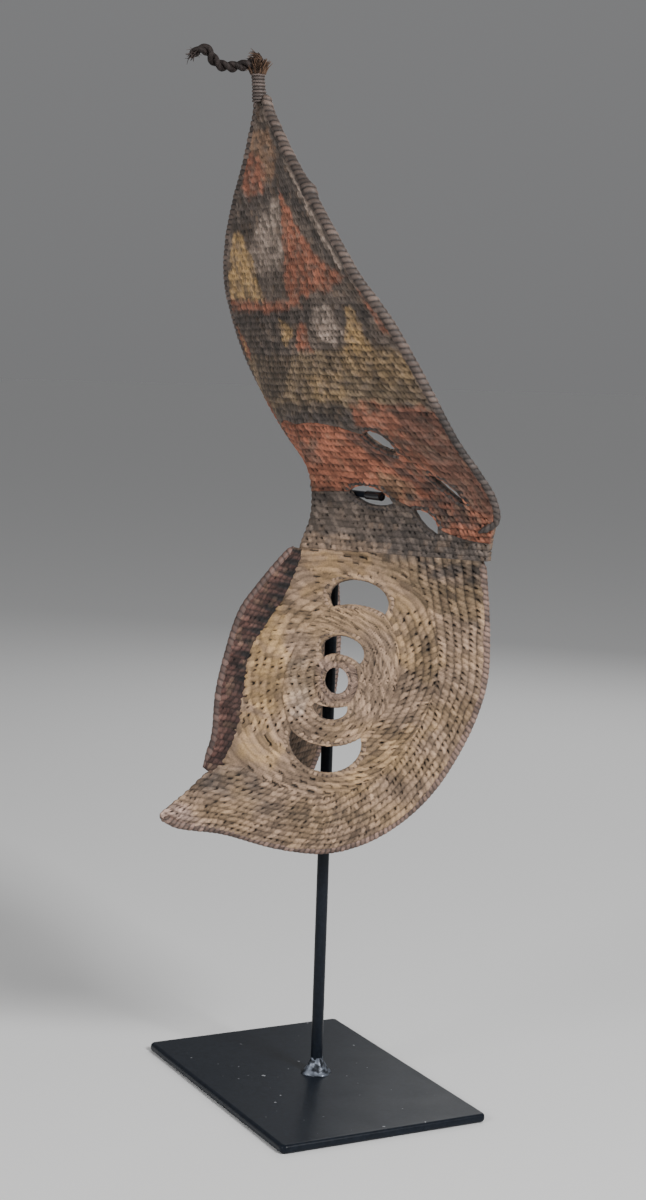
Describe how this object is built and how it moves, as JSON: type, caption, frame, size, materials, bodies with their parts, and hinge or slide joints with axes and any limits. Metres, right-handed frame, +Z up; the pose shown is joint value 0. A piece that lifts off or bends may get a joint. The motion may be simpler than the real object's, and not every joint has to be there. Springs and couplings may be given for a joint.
{
  "type": "woven mask on stand",
  "caption": "Tall painted basketry mask with a leaf-shaped crest, pierced round eyes and a beaked jaw, hooked on a black steel rod stand with a flat base plate.",
  "frame": {"origin": "on the underside of the base plate, straight below the rod's axis", "axes": "+Z up along the rod, the mask faces -Y, X = 0 is the mask's mirror plane"},
  "size_m": [0.2496, 0.1894, 0.6888],
  "materials": {
    "stand_paint": "satin black paint",
    "weld_metal": "rough weld bead under worn paint",
    "sleeve_vinyl": "glossy black sleeve",
    "woven_fibre": "close-woven plant fibre with worn earth pigments",
    "wrapped_fibre": "wrapped coil of plant fibre",
    "binding_thread": "wound plant thread",
    "dark_cord": "twisted cord, dark and dry"
  },
  "bodies": {
    "stand": {"base_plate": "stand_paint", "stand_rod": "stand_paint", "foot_weld": "weld_metal", "support_bar": "stand_paint", "bar_weld": "stand_paint", "bar_sleeve_left": "sleeve_vinyl", "bar_sleeve_right": "sleeve_vinyl"},
    "mask": {"crest_panel": "woven_fibre", "forehead_band": "woven_fibre", "neck_band": "woven_fibre", "cheek_left": "woven_fibre", "cheek_right": "woven_fibre", "eye_surround_left": "woven_fibre", "eye_surround_right": "woven_fibre", "eye_ring_left": "wrapped_fibre", "eye_ring_right": "wrapped_fibre", "nose_keel": "woven_fibre", "keel_rim": "wrapped_fibre", "crest_rim_left": "wrapped_fibre", "crest_rim_right": "wrapped_fibre", "jaw_rim_left": "wrapped_fibre", "jaw_rim_right": "wrapped_fibre", "tip_binding": "binding_thread", "tip_tuft": "binding_thread", "crest_cord": "dark_cord"}
  },
  "joints": [
    {"name": "mask_lift_off", "type": "slide", "parent": "stand", "child": "mask", "axis": [0, -0.9397, 0.3419], "range_m": [0, 0.28]}
  ]
}
